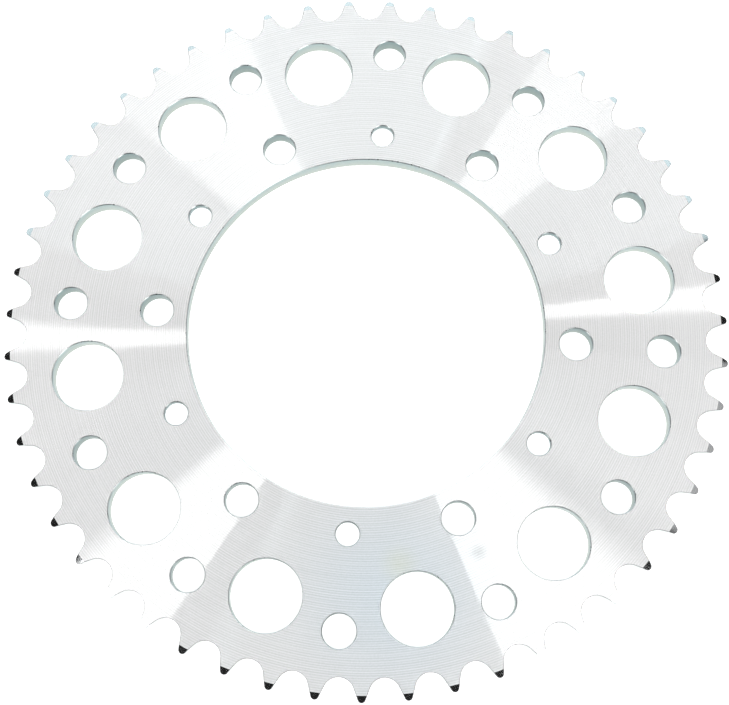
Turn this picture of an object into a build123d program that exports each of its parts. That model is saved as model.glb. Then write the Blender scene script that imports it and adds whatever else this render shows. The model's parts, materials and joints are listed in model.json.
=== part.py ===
from build123d import *
import math
import os

# A rear sprocket for a 520 motorcycle chain, machined from one flat aluminium plate.
# It lies on the XY plane: Z is the wheel's axle, the origin is the bore's centre on the
# outboard face, and the hub face, which is the one that seats on the wheel, is on top.
# Lengths are in millimetres and angles in degrees from +X, anticlockwise seen from +Z.

# Chain and teeth
tooth_count = 51
chain_pitch = 15.875
roller_diameter = 10.16
seat_clearance = 0.42
flank_angle = 20.0
tip_round = 1.4
first_tooth_angle = 6.0
tip_bevel_width = 2.45
tip_bevel_depth = 1.25

# Plate and hub seat
plate_thickness = 6.0
bolt_circle_diameter = 150.0
bore_to_bolt_circle = 9.75
edge_chamfer = 0.25

# Bolt holes, for countersunk M8 screws put in from the outboard face
bolt_count = 6
bolt_hole_diameter = 8.4
bolt_hub_chamfer = 0.3
screw_head_angle = 90.0
countersink_depth = 3.45
first_bolt_angle = 30.0

# Round holes between the bolts
inner_hole_diameter = 12.0
inner_circle_step = 1.5
first_inner_angle = 0.0

# Round holes under the tooth rim, large and medium by turns
rim_hole_count = 12
large_hole_diameter = 25.5
large_hole_rim = 8.8
first_large_angle = 15.0
outer_hole_diameter = 12.0
outer_hole_rim = 9.2
first_outer_angle = 0.0

# Sizes that follow from the ones above
tooth_step = 360.0 / tooth_count
pitch_radius = chain_pitch / (2 * math.sin(math.radians(tooth_step / 2)))
seat_radius = roller_diameter / 2 + seat_clearance
root_radius = pitch_radius - seat_radius
bolt_circle_radius = bolt_circle_diameter / 2
bore_radius = bolt_circle_radius - bore_to_bolt_circle
inner_circle_radius = bolt_circle_radius + inner_circle_step
large_circle_radius = root_radius - large_hole_rim - large_hole_diameter / 2
outer_circle_radius = root_radius - outer_hole_rim - outer_hole_diameter / 2


def polar(radius, angle):
    """The point at a radius and an angle from the axle."""
    turn = math.radians(angle)
    return Vector(radius * math.cos(turn), radius * math.sin(turn))


def tooth_corners():
    """A tooth's corners on one side, with its centre line on +X: root, flank foot, flank top, tip."""
    lean = math.radians(flank_angle)
    roller = polar(pitch_radius, tooth_step / 2)
    root = polar(root_radius, tooth_step / 2)
    foot = roller - Vector(math.sin(lean), math.cos(lean)) * seat_radius
    flanks_meet = foot.X + foot.Y / math.tan(lean)
    round_centre = flanks_meet - tip_round / math.sin(lean)
    top = Vector(round_centre + tip_round * math.sin(lean), tip_round * math.cos(lean))
    tip = Vector(round_centre + tip_round, 0)
    return root, foot, top, tip


def tooth_edges(angle):
    """One tooth from root to root: seat arc, flank, round tip, flank and seat arc."""
    root, foot, top, tip = tooth_corners()
    roller = polar(pitch_radius, tooth_step / 2)
    seat_middle = roller + ((root - roller) + (foot - roller)).normalized() * seat_radius
    seat = ThreePointArc(root, seat_middle, foot)
    flank = Line(foot, top)
    half_round = ThreePointArc(top, tip, Vector(top.X, -top.Y))
    far_flank = flank.mirror(Plane.XZ)
    far_seat = seat.mirror(Plane.XZ)
    return [edge.rotate(Axis.Z, angle) for edge in (seat, flank, half_round, far_flank, far_seat)]


def tooth_outline():
    """The closed outline of all the teeth, as a face at the plate's lower side."""
    edges = []
    for number in range(tooth_count):
        edges += tooth_edges(first_tooth_angle + number * tooth_step)
    return make_face(edges)


def turned_blank():
    """The round plate as it leaves the lathe: bore with broken edges, and a bevelled outside."""
    tip_radius = tooth_corners()[3].X
    profile = Polyline(
        (bore_radius, edge_chamfer),
        (bore_radius + edge_chamfer, 0),
        (tip_radius - tip_bevel_width, 0),
        (tip_radius, tip_bevel_depth),
        (tip_radius, plate_thickness - tip_bevel_depth),
        (tip_radius - tip_bevel_width, plate_thickness),
        (bore_radius + edge_chamfer, plate_thickness),
        (bore_radius, plate_thickness - edge_chamfer),
        close=True,
    )
    return revolve(Plane.XZ * make_face(profile), Axis.Z)


def hole_cutter(diameter, low_chamfer, high_chamfer, low_angle=90.0):
    """A through hole's cutter with a cone at each face; a chamfer is given by its depth."""
    radius = diameter / 2
    low_width = low_chamfer * math.tan(math.radians(low_angle / 2))
    profile = Polyline(
        (0, 0),
        (radius + low_width, 0),
        (radius, low_chamfer),
        (radius, plate_thickness - high_chamfer),
        (radius + high_chamfer, plate_thickness),
        (0, plate_thickness),
        close=True,
    )
    return revolve(Plane.XZ * make_face(profile), Axis.Z)


def ring_of(cutter, count, radius, first_angle):
    """Copies of a cutter, evenly spaced on a circle round the axle."""
    copies = []
    for number in range(count):
        place = polar(radius, first_angle + number * 360.0 / count)
        copies.append(Pos(place.X, place.Y, 0) * cutter)
    return copies


def all_hole_cutters():
    """The bolt holes, the holes between them, and the two kinds of hole under the rim."""
    bolt = hole_cutter(bolt_hole_diameter, countersink_depth, bolt_hub_chamfer, screw_head_angle)
    inner = hole_cutter(inner_hole_diameter, edge_chamfer, edge_chamfer)
    large = hole_cutter(large_hole_diameter, edge_chamfer, edge_chamfer)
    outer = hole_cutter(outer_hole_diameter, edge_chamfer, edge_chamfer)
    cutters = ring_of(bolt, bolt_count, bolt_circle_radius, first_bolt_angle)
    cutters += ring_of(inner, bolt_count, inner_circle_radius, first_inner_angle)
    cutters += ring_of(large, rim_hole_count, large_circle_radius, first_large_angle)
    cutters += ring_of(outer, rim_hole_count, outer_circle_radius, first_outer_angle)
    return cutters


def sprocket_plate():
    """The whole sprocket: the toothed outline cut into the turned blank, and then drilled."""
    plate = extrude(tooth_outline(), plate_thickness, dir=(0, 0, 1)) & turned_blank()
    for cutter in all_hole_cutters():
        plate -= cutter
    return plate


os.makedirs("parts", exist_ok=True)
export_step(sprocket_plate(), "parts/sprocket_plate.step")
print("tip diameter", round(2 * tooth_corners()[3].X, 2), "root diameter", round(2 * root_radius, 2))
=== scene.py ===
import json
import math

import bpy
import numpy as np
from mathutils import Matrix, Quaternion, Vector
from mathutils.geometry import delaunay_2d_cdt


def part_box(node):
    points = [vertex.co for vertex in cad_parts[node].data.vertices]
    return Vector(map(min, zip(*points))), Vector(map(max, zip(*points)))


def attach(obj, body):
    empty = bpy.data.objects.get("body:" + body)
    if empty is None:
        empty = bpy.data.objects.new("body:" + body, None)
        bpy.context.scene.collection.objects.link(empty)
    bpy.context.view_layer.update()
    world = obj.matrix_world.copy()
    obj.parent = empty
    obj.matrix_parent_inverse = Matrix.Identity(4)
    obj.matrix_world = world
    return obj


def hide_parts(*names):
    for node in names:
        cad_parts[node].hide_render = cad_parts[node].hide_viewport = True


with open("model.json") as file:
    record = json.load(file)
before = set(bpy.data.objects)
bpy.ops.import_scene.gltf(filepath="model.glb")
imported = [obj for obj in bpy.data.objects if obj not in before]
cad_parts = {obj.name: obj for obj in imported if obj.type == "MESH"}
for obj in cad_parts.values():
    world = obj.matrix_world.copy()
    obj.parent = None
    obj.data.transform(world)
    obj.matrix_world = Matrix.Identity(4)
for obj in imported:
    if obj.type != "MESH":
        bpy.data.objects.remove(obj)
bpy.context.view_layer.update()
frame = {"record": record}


# ---------------------------------------------------------------- The plate
# One flat blank of aluminium alloy, bored and faced on a lathe on both sides.
# Its thickness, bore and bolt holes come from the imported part, the rest are its maker's sizes.

MM = 0.001
mounts = {mount["name"]: mount for mount in frame["record"]["mounts"]}
low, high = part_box("sprocket_plate")
underside = low[2]
top_side = high[2]
middle = (underside + top_side) / 2
half_thickness = (top_side - underside) / 2
bore_radius = mounts["bore"]["dims"]["r_mm"] * MM
edge_chamfer = 0.25 * MM
FACE, BEVEL, TOOTH_WALL, BROKEN_EDGE, BORED_WALL, SHADED_DRILLED_WALL, CHAMFER = range(7)
surfaces = []


def keep_surface(points, faces, material):
    """Notes a stretch of surface: points (n, 3), faces as rows of 3 point numbers, and its material."""
    surfaces.append((points, faces, material))


def grid_faces(rows, columns, closed):
    """Triangles of a rows by columns grid, row by row; closed joins the last row to the first."""
    row = np.arange(rows if closed else rows - 1)[:, None]
    column = np.arange(columns - 1)[None, :]
    here = row * columns + column
    there = (row + 1) % rows * columns + column
    first = np.stack([here, there, there + 1], axis=-1).reshape(-1, 3)
    second = np.stack([here, there + 1, here + 1], axis=-1).reshape(-1, 3)
    return np.concatenate([first, second])


def circle(centre, radius, count):
    """count points evenly round a circle: centre + radius (cos t, sin t)."""
    turn = np.linspace(0, 2 * math.pi, count, endpoint=False)
    return np.stack([centre[0] + radius * np.cos(turn), centre[1] + radius * np.sin(turn)], axis=-1)


# ---------------------------------------------------------------- The ring of teeth
# The teeth are milled round the blank for a 520 chain: a round seat for each roller, straight
# flanks and a rounded tip. The tips are bevelled on both sides and every edge is just broken.

tooth_count = 51
chain_pitch = 15.875 * MM
seat_radius = 5.5 * MM
flank_lean = math.radians(20.0)
tip_round = 1.4 * MM
first_tooth = math.radians(6.0)
bevel_width = 2.45 * MM
bevel_depth = 1.25 * MM
broken_edge = 0.16 * MM
seat_steps, flank_steps, tip_steps = 14, 4, 8

tooth_turn = 2 * math.pi / tooth_count
pitch_radius = chain_pitch / (2 * math.sin(tooth_turn / 2))
roller = pitch_radius * np.array([math.cos(tooth_turn / 2), math.sin(tooth_turn / 2)])
lean = np.array([math.sin(flank_lean), math.cos(flank_lean)])
flank_foot = roller - seat_radius * lean
flanks_meet = flank_foot[0] + flank_foot[1] / math.tan(flank_lean)
tip_centre = np.array([flanks_meet - tip_round / math.sin(flank_lean), 0.0])
flank_top = tip_centre + tip_round * lean
tip_radius = tip_centre[0] + tip_round
bevel_start = tip_radius - bevel_width


def half_tooth(inset):
    """Half a tooth's outline, from the root to the tip, with its centre line on +X, drawn in by
    inset. It is roller + (seat_radius + inset)(cos t, sin t) over the seat, a straight line up the
    flank, and tip_centre + (tip_round - inset)(cos t, sin t) over the tip."""
    root_angle = math.pi + tooth_turn / 2
    foot_angle = math.pi * 1.5 - flank_lean
    angle = np.linspace(root_angle, foot_angle, seat_steps, endpoint=False)
    seat = roller + (seat_radius + inset) * np.stack([np.cos(angle), np.sin(angle)], axis=-1)
    share = np.append(np.linspace(0, bevel_share, flank_steps, endpoint=False),
                      np.linspace(bevel_share, 1, flank_steps, endpoint=False))[:, None]
    flank = flank_foot + (flank_top - flank_foot) * share - inset * lean
    angle = np.linspace(math.pi / 2 - flank_lean, 0, tip_steps)
    tip = tip_centre + (tip_round - inset) * np.stack([np.cos(angle), np.sin(angle)], axis=-1)
    return np.concatenate([seat, flank, tip])


def share_at_bevel():
    """How far up the flank its broken edge meets the bevel's circle: |a + s b| = bevel_start."""
    a = flank_foot - broken_edge * lean
    b = flank_top - flank_foot
    dot = a @ b
    return (-dot + math.sqrt(dot * dot - b @ b * (a @ a - bevel_start ** 2))) / (b @ b)


bevel_share = share_at_bevel()
first_on_bevel = seat_steps + flank_steps


def whole_tooth(inset):
    """A tooth's outline from root to root, anticlockwise about the axle: the half, mirrored."""
    half = half_tooth(inset)
    return np.concatenate([half[:-1] * [1, -1], half[::-1]])[:-1]


def round_the_axle(points):
    """The same points once for each tooth: (tooth, point, 2)."""
    turn = first_tooth + tooth_turn * np.arange(tooth_count)
    cos, sin = np.cos(turn)[:, None], np.sin(turn)[:, None]
    x, y = points[:, 0], points[:, 1]
    return np.stack([cos * x - sin * y, sin * x + cos * y], axis=-1)


def half_height(points):
    """The plate's half thickness at a point: full inside the bevel's circle, and past it less by
    bevel_depth / bevel_width for each unit of radius."""
    past = np.linalg.norm(points, axis=-1) - bevel_start
    return half_thickness - np.maximum(past, 0) * bevel_depth / bevel_width


def with_height(points, height):
    """Plan points (..., 2) and a height about the plate's middle, as points in space."""
    return np.concatenate([points, np.broadcast_to(middle + height, points.shape[:-1])[..., None]], axis=-1)


outline = round_the_axle(whole_tooth(0.0))
inner_outline = round_the_axle(whole_tooth(broken_edge))
rise = half_height(inner_outline)
wall_rise = rise - broken_edge
levels = [(inner_outline, rise), (outline, wall_rise), (outline, -wall_rise), (inner_outline, -rise)]
strips = np.stack([with_height(points, height).reshape(-1, 3) for points, height in levels], axis=1)
for column, material in enumerate((BROKEN_EDGE, TOOTH_WALL, BROKEN_EDGE)):
    pair = strips[:, column:column + 2].reshape(-1, 3)
    keep_surface(pair, grid_faces(len(strips), 2, True)[:, ::-1], material)

# The bevels run from a circle on the face out to the tips. Seen from outside, each side's facets turn
# anticlockwise, which is the other way round on the underside.
tip_part = slice(first_on_bevel, -first_on_bevel + 1)
tip_edge = inner_outline[:, tip_part]
reach = np.linalg.norm(tip_edge, axis=-1, keepdims=True)
bevel_arc = tip_edge / reach * bevel_start
for side in (1, -1):
    near = with_height(bevel_arc, side * half_thickness)
    far = with_height(tip_edge, side * half_height(tip_edge))
    facets = np.stack([near, far], axis=2)
    faces = grid_faces(facets.shape[1], 2, False)[:, ::-side]
    starts = np.arange(tooth_count)[:, None, None] * facets.shape[1] * 2
    keep_surface(facets.reshape(-1, 3), (starts + faces).reshape(-1, 3), BEVEL)

face_edge = inner_outline.copy()
face_edge[:, tip_part] = bevel_arc
face_loops = [face_edge.reshape(-1, 2)]
under_loops = [face_edge.reshape(-1, 2)]


# ---------------------------------------------------------------- The bore and the round holes
# The bore is turned and seats on the wheel's hub. Six bolt holes are countersunk on the underside,
# and the others only save weight. All are chamfered where they meet the faces.

root_radius = pitch_radius - seat_radius
bolts = mounts["hub_bolts"]["dims"]
bolt_circle = bolts["pcd_mm"] / 2 * MM
bolt_radius = bolts["hole_r_mm"] * MM
hub_chamfer = 0.3 * MM
countersink = 3.45 * MM
medium_radius = 6.0 * MM
large_radius = 12.75 * MM
inner_circle = bolt_circle + 1.5 * MM
large_circle = root_radius - 8.8 * MM - large_radius
outer_circle = root_radius - 9.2 * MM - medium_radius
bolt_count, first_bolt, first_inner = bolts["count"], 30, 0
rim_hole_count, first_large, first_outer = 12, 15, 0
bore_steps, bolt_steps, medium_steps, large_steps = 480, 72, 96, 144


def hole(centre, radius, top_chamfer, low_chamfer, count, material):
    """A hole's wall: the profile (radius + chamfer, face), (radius, face less chamfer) and the same
    below, carried round the circle centre + r (cos t, sin t). Its two rims cut the plate's faces."""
    profile = [(radius + top_chamfer, half_thickness), (radius, half_thickness - top_chamfer),
               (radius, -half_thickness + low_chamfer), (radius + low_chamfer, -half_thickness)]
    rings = np.stack([with_height(circle(centre, r, count), z) for r, z in profile], axis=1)
    for column, finish in enumerate((CHAMFER, material, CHAMFER)):
        pair = rings[:, column:column + 2].reshape(-1, 3)
        keep_surface(pair, grid_faces(count, 2, True), finish)
    face_loops.append(rings[:, 0, :2])
    under_loops.append(rings[:, -1, :2])


def ring_of_holes(count, circle_radius, first_angle, radius, chamfers, steps, material):
    """count holes evenly spaced on a circle round the axle, the first at first_angle degrees."""
    for number in range(count):
        turn = math.radians(first_angle) + 2 * math.pi * number / count
        centre = (circle_radius * math.cos(turn), circle_radius * math.sin(turn))
        hole(centre, radius, *chamfers, steps, material)


both = (edge_chamfer, edge_chamfer)
sunk = (hub_chamfer, countersink)
hole((0.0, 0.0), bore_radius, *both, bore_steps, BORED_WALL)
ring_of_holes(bolt_count, bolt_circle, first_bolt, bolt_radius, sunk, bolt_steps, SHADED_DRILLED_WALL)
ring_of_holes(bolt_count, inner_circle, first_inner, medium_radius, both, medium_steps, SHADED_DRILLED_WALL)
ring_of_holes(rim_hole_count, large_circle, first_large, large_radius, both, large_steps, BORED_WALL)
ring_of_holes(rim_hole_count, outer_circle, first_outer, medium_radius, both, medium_steps, SHADED_DRILLED_WALL)


touching = 1e-7


def flat_face(loops, height, upwards):
    """The flat between an outline, which is the first loop, and the holes in it, all of them
    anticlockwise. Three points of one loop, taken in their order round it, turn anticlockwise
    just when their triangle lies inside that loop: metal in the outline, and air in a hole."""
    points = np.concatenate(loops)
    loop = np.repeat(np.arange(len(loops)), [len(one) for one in loops])
    starts = np.cumsum([0] + [len(one) for one in loops])
    edges = []
    for start, end in zip(starts[:-1], starts[1:]):
        number = np.arange(start, end)
        edges.append(np.stack([number, np.roll(number, -1)], axis=-1))
    plan = [Vector(point) for point in points / MM]
    found = delaunay_2d_cdt(plan, np.concatenate(edges).tolist(), [], 0, touching, False)
    corners = np.sort(np.array(found[2]), axis=1)
    a, b, c = (points[corners[:, k]] for k in range(3))
    area = (b[:, 0] - a[:, 0]) * (c[:, 1] - a[:, 1]) - (b[:, 1] - a[:, 1]) * (c[:, 0] - a[:, 0])
    first = loop[corners[:, 0]]
    air = (first == loop[corners[:, 2]]) & ((area > 0) != (first == 0))
    metal, turns = corners[~air], area[~air] > 0
    metal[turns != upwards] = metal[turns != upwards][:, ::-1]
    keep_surface(with_height(points, height), metal, FACE)


flat_face(face_loops, half_thickness, True)
flat_face(under_loops, -half_thickness, False)


# ---------------------------------------------------------------- The finished sprocket
# All the cut surfaces are one closed skin round one solid piece of metal.
# Points that meet are joined, and only the edges that a cutter left are sharp.

weld = 1e-8
sharp_from = math.radians(18)


def joined_mesh(name):
    """One mesh from the noted surfaces: points rounded to the weld size and shared, slivers dropped."""
    counts = np.cumsum([0] + [len(points) for points, _, _ in surfaces])
    points = np.concatenate([points for points, _, _ in surfaces])
    faces = np.concatenate([faces + start for (_, faces, _), start in zip(surfaces, counts)])
    finish = np.concatenate([np.full(len(faces), material) for _, faces, material in surfaces])
    _, first, shared = np.unique(np.round(points / weld).astype(np.int64), axis=0,
                                 return_index=True, return_inverse=True)
    faces = shared.reshape(-1)[faces]
    whole = (faces[:, 0] != faces[:, 1]) & (faces[:, 1] != faces[:, 2]) & (faces[:, 2] != faces[:, 0])
    mesh = bpy.data.meshes.new(name)
    mesh.from_pydata(points[first], [], faces[whole])
    mesh.polygons.foreach_set("material_index", finish[whole].astype(np.int32))
    mesh.polygons.foreach_set("use_smooth", np.ones(int(whole.sum()), bool))
    mesh.set_sharp_from_angle(angle=sharp_from)
    mesh.update()
    return mesh


sprocket = bpy.data.objects.new("sprocket", joined_mesh("sprocket"))
bpy.context.scene.collection.objects.link(sprocket)
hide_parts("sprocket_plate")
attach(sprocket, "root")


# ---------------------------------------------------------------- The finishes
# The faces and bevels are left as the lathe cut them: fine rings all about the axle, which draw
# every light out into a streak across them. The milled and drilled walls are duller and greyer,
# and their colours hold painted light: painted shade at the top, painted floor light low down,
# a painted teal reflection, and more painted shade in the small drilled holes.

to_mm = (1 / MM, 1 / MM, 0)
groove_pitch = 0.11
ring_pitch = 0.82
chance_per_mm = 1.7
fleck_per_mm = 1.6
ring_change = 0.085
fleck_change = 0.2
chatter_slope = 0.005
cloud_per_metre = 900.0
cloud_change = 0.2
# The first, broad mark is painted shade that darkens the near side of the face; the others put two small
# tints and a dark spot on it.
painted_shade_and_face_marks = (
    (10, -60, 170, (0.09, 0.09, 0.09)),
    (18, -95, 48, (0.075, 0.02, -0.02)),
    (19, -84, 9, (0.0, 0.01, 0.09)),
    (46, -77.5, 4.5, (0.16, 0.16, 0.16)),
)


class Nodes:
    """Short ways to add nodes to one material's tree; each returns the new node's output."""

    def __init__(self, name):
        self.material = bpy.data.materials.new(name)
        self.material.use_nodes = True
        self.tree = self.material.node_tree
        self.shader = self.tree.nodes["Principled BSDF"]

    def put(self, socket, value):
        if isinstance(value, bpy.types.NodeSocket):
            self.tree.links.new(value, socket)
        else:
            socket.default_value = value

    def add(self, kind, output, settings=None, **inputs):
        node = self.tree.nodes.new(kind)
        for name, value in (settings or {}).items():
            setattr(node, name, value)
        for name, value in inputs.items():
            self.put(node.inputs[name.replace("_", " ")], value)
        return node.outputs[output]

    def math(self, operation, *values):
        node = self.tree.nodes.new("ShaderNodeMath")
        node.operation = operation
        for socket, value in zip(node.inputs, values):
            self.put(socket, value)
        return node.outputs[0]

    def vector(self, operation, *values, output=0):
        node = self.tree.nodes.new("ShaderNodeVectorMath")
        node.operation = operation
        for socket, value in zip(node.inputs, values):
            self.put(socket, value)
        return node.outputs[output]

    def set(self, **inputs):
        for name, value in inputs.items():
            self.put(self.shader.inputs[name.replace("_", " ")], value)


def turned_metal(name, colour, metallic, roughness, groove_slope, shade_and_marks=()):
    """Lathe-turned metal. The surface normal leans along the radius by
    groove_slope (2 fract(r / groove_pitch) - 1), the arc that the tool's nose leaves each turn,
    and a little round the ring by chance, where the tool chattered. The gloss is rougher along
    the radius, (x, y, 0), than round the rings. The metal is lighter and darker by
    ring_change sin(2 pi r / ring_pitch), and by fleck_change at random from ring to ring and from
    fleck to fleck. Each mark (x, y, size, loss), in millimetres, takes its loss of colour off,
    fading out to nothing at its size. A broad mark is painted shade, the small ones tints and spots."""
    n = Nodes(name)
    place = n.vector("MULTIPLY", n.add("ShaderNodeTexCoord", "Object"), to_mm)
    radius = n.vector("LENGTH", place, output=1)
    outwards = n.vector("NORMALIZE", place)
    round_it = n.vector("CROSS_PRODUCT", (0, 0, 1), outwards)
    turn = n.math("FRACT", n.math("DIVIDE", radius, groove_pitch))
    slope = n.math("MULTIPLY", n.math("MULTIPLY_ADD", turn, 2.0, -1.0), groove_slope)
    fleck = n.add("ShaderNodeTexNoise", 0, None, Vector=place, Scale=fleck_per_mm, Detail=2.0)
    chatter = n.math("MULTIPLY_ADD", fleck, 2 * chatter_slope, -chatter_slope)
    lean = n.add("ShaderNodeVectorMath", 0, {"operation": "SCALE"}, Vector=outwards, Scale=slope)
    twist = n.add("ShaderNodeVectorMath", 0, {"operation": "SCALE"}, Vector=round_it, Scale=chatter)
    leaning = n.vector("ADD", n.vector("ADD", n.add("ShaderNodeNewGeometry", "Normal"), lean), twist)
    chance = n.add("ShaderNodeTexNoise", 0, {"noise_dimensions": "1D"}, W=radius,
                   Scale=chance_per_mm, Detail=1.0)
    wave = n.math("SINE", n.math("MULTIPLY", radius, 2 * math.pi / ring_pitch))
    light = n.math("MULTIPLY_ADD", wave, ring_change, 1.0)
    light = n.math("ADD", light, n.math("MULTIPLY_ADD", chance, fleck_change, -fleck_change / 2))
    light = n.math("ADD", light, n.math("MULTIPLY_ADD", fleck, fleck_change, -fleck_change / 2))
    tint = n.add("ShaderNodeVectorMath", 0, {"operation": "SCALE"}, Vector=colour, Scale=light)
    # Painted shade and marks: each one takes colour off round its centre.
    for x, y, size, loss in shade_and_marks:
        away = n.vector("DISTANCE", place, (x, y, 0), output=1)
        share = n.add("ShaderNodeMapRange", 0, {"interpolation_type": "SMOOTHSTEP"}, Value=away,
                      From_Min=size, From_Max=0.0)
        faded = n.add("ShaderNodeVectorMath", 0, {"operation": "SCALE"}, Vector=loss, Scale=share)
        tint = n.vector("SUBTRACT", tint, faded)
    n.set(Base_Color=tint, Metallic=metallic, Roughness=roughness, Anisotropic=1.0,
          Tangent=outwards, Normal=n.vector("NORMALIZE", leaning))
    return n.material


def cut_wall(name, high_colour, low_colour, roughness, metallic=1.0):
    """A milled or drilled wall, greyer by its top edge than by its low one, with a faint cloud in
    its gloss. The change with height is painted light: painted shade at the top edge and painted
    light from the floor at the low one."""
    n = Nodes(name)
    place = n.add("ShaderNodeTexCoord", "Object")
    # Painted light: the colour runs from painted shade at the top edge to painted floor light at the low
    # edge.
    height = n.add("ShaderNodeSeparateXYZ", "Z", None, Vector=place)
    share = n.add("ShaderNodeMapRange", 0, None, Value=height, From_Min=underside, From_Max=top_side)
    colour = n.add("ShaderNodeMix", 2, {"data_type": "RGBA"})
    mix = colour.node
    n.put(mix.inputs[0], share)
    n.put(mix.inputs[6], (*low_colour, 1))
    n.put(mix.inputs[7], (*high_colour, 1))
    cloud = n.add("ShaderNodeTexNoise", 0, None, Vector=place, Scale=cloud_per_metre, Detail=3.0)
    gloss = n.math("MULTIPLY_ADD", cloud, cloud_change, roughness - cloud_change / 2)
    n.set(Base_Color=colour, Metallic=metallic, Roughness=gloss)
    return n.material


# Turned metal: name, colour, metallic, roughness, groove slope, and painted shade and marks. Cut wall:
# name, colour at the top, colour at the bottom, roughness and metallic; on the walls these two colours are
# painted shade and painted floor light.
finishes = {
    FACE: turned_metal("turned_face", (0.86, 0.86, 0.86), 0.65, 0.085, 0.9, painted_shade_and_face_marks),
    BEVEL: turned_metal("turned_bevel", (0.92, 0.94, 0.95), 1.0, 0.10, 0.02),
    # These wall colours are painted light: darker at the top as shade, paler low down as light from the
    # floor, and tinted teal as a painted reflection.
    TOOTH_WALL: cut_wall("milled_tooth_wall_painted_light", (0.72, 0.78, 0.77), (0.82, 0.84, 0.82), 0.35),
    BORED_WALL: cut_wall("bored_wall_painted_light", (0.31, 0.40, 0.405), (0.49, 0.53, 0.485), 0.35),
    # Painted shade: the drilled walls are darker than the bored ones, standing in for the shade inside the
    # smaller holes.
    SHADED_DRILLED_WALL: cut_wall("drilled_wall_painted_shade", (0.20, 0.28, 0.29), (0.35, 0.41, 0.38), 0.35),
    CHAMFER: cut_wall("chamfer", (0.80, 0.84, 0.84), (0.80, 0.84, 0.84), 0.30),
    # Painted shade: the broken edges are dark and dull, not metal, which makes a painted dark line of shade
    # round every tooth.
    BROKEN_EDGE: cut_wall("broken_edge", (0.13, 0.13, 0.14), (0.13, 0.13, 0.14), 0.50, 0.0),
}
for number in sorted(finishes):
    sprocket.data.materials.append(finishes[number])


# ---------------------------------------------------------------- Floor, lights and camera
# The sprocket lies on a white floor. Two soft boxes stand in front of it to the left and right, a wide
# one hangs overhead with a narrow strip, a grey card is at the right and three pale screens are behind.

floor_size = 2.2


def stage_floor():
    """A white square at z = underside, which the plate lies on."""
    corners = np.array([(-1, -1), (1, -1), (1, 1), (-1, 1)]) * floor_size / 2
    mesh = bpy.data.meshes.new("floor")
    mesh.from_pydata([(x, y, underside) for x, y in corners], [], [(0, 1, 2, 3)])
    floor = bpy.data.objects.new("floor", mesh)
    bpy.context.scene.collection.objects.link(floor)
    n = Nodes("floor")
    n.set(Base_Color=(0.9, 0.9, 0.9, 1), Roughness=0.9, Specular_IOR_Level=0.0,
          Emission_Color=(1, 1, 1, 1), Emission_Strength=0.5)
    mesh.materials.append(n.material)


def soft_box(name, azimuth, elevation, distance, width, height, brightness, colour=(1, 1, 1), streak=None):
    """A rectangular light facing the axle, at an angle from +X and above the floor in degrees.
    Its radiance is brightness, whatever its size. It stands upright, or leans so that its long
    edges draw sharp streaks along the radius at the angle streak."""
    light = bpy.data.lights.new(name, "AREA")
    light.shape = "RECTANGLE"
    light.size, light.size_y = width, height
    light.energy = brightness * width * height * math.pi
    light.color = colour
    turn, rise = math.radians(azimuth), math.radians(elevation)
    way = Vector((math.cos(turn) * math.cos(rise), math.sin(turn) * math.cos(rise), math.sin(rise)))
    along = turn if streak is None else math.radians(streak)
    across = Vector((-math.sin(along), math.cos(along), 0.0))
    across = (across - across.dot(way) * way).normalized()
    lamp = bpy.data.objects.new(name, light)
    lamp.location = way * distance
    lamp.rotation_mode = "QUATERNION"
    lamp.rotation_quaternion = Matrix((across, way.cross(across), way)).transposed().to_quaternion()
    lamp.visible_camera = False
    bpy.context.scene.collection.objects.link(lamp)


pale_cyan = (0.80, 0.96, 1.0)
soft_box("box_left", 223.0, 30, 1.0, 0.306, 0.54, 2.6, streak=242.5)
soft_box("box_right", 317.8, 30, 1.0, 0.468, 0.54, 2.6, streak=297)
soft_box("strip", 158.7, 60, 1.0, 0.035, 0.22, 9.0, streak=188.6)
soft_box("overhead", 270, 90, 1.6, 2.8, 2.6, 1.9)
soft_box("grey_card", 357.5, 25, 1.0, 0.5, 0.34, 0.42)
soft_box("screen", 98, 14, 1.3, 0.95, 0.6, 0.95, pale_cyan)
soft_box("screen_left", 137, 11, 1.3, 0.95, 0.34, 0.92, pale_cyan)
soft_box("screen_right", 56, 11, 1.3, 1.10, 0.34, 0.92, pale_cyan)


def surroundings():
    """A dark room to the metal, and a pale backdrop behind the floor."""
    world = bpy.data.worlds.new("room")
    world.use_nodes = True
    bpy.context.scene.world = world
    tree = world.node_tree
    dark = tree.nodes["Background"]
    dark.inputs["Color"].default_value = (0.004, 0.004, 0.004, 1)
    pale = tree.nodes.new("ShaderNodeBackground")
    pale.inputs["Color"].default_value = (0.97, 0.97, 0.97, 1)
    seen = tree.nodes.new("ShaderNodeLightPath")
    mix = tree.nodes.new("ShaderNodeMixShader")
    tree.links.new(seen.outputs["Is Camera Ray"], mix.inputs[0])
    tree.links.new(dark.outputs[0], mix.inputs[1])
    tree.links.new(pale.outputs[0], mix.inputs[2])
    tree.links.new(mix.outputs[0], tree.nodes["World Output"].inputs["Surface"])


def view_camera():
    """The camera, at a place in bore radii about the bore's centre on the top face."""
    data = bpy.data.cameras.new("camera")
    data.sensor_width = 36.0
    data.lens = 60.543
    data.clip_start, data.clip_end = 0.01, 50
    camera = bpy.data.objects.new("camera", data)
    camera.rotation_mode = "QUATERNION"
    camera.rotation_quaternion = Quaternion(Vector((0.23718, 0.01487, 0.08402)))
    camera.location = Vector((0.17304, -1.73726, 6.60891)) * bore_radius + Vector((0, 0, top_side))
    bpy.context.scene.collection.objects.link(camera)
    bpy.context.scene.camera = camera


stage_floor()
surroundings()
view_camera()
bpy.context.scene.view_settings.view_transform = "Standard"
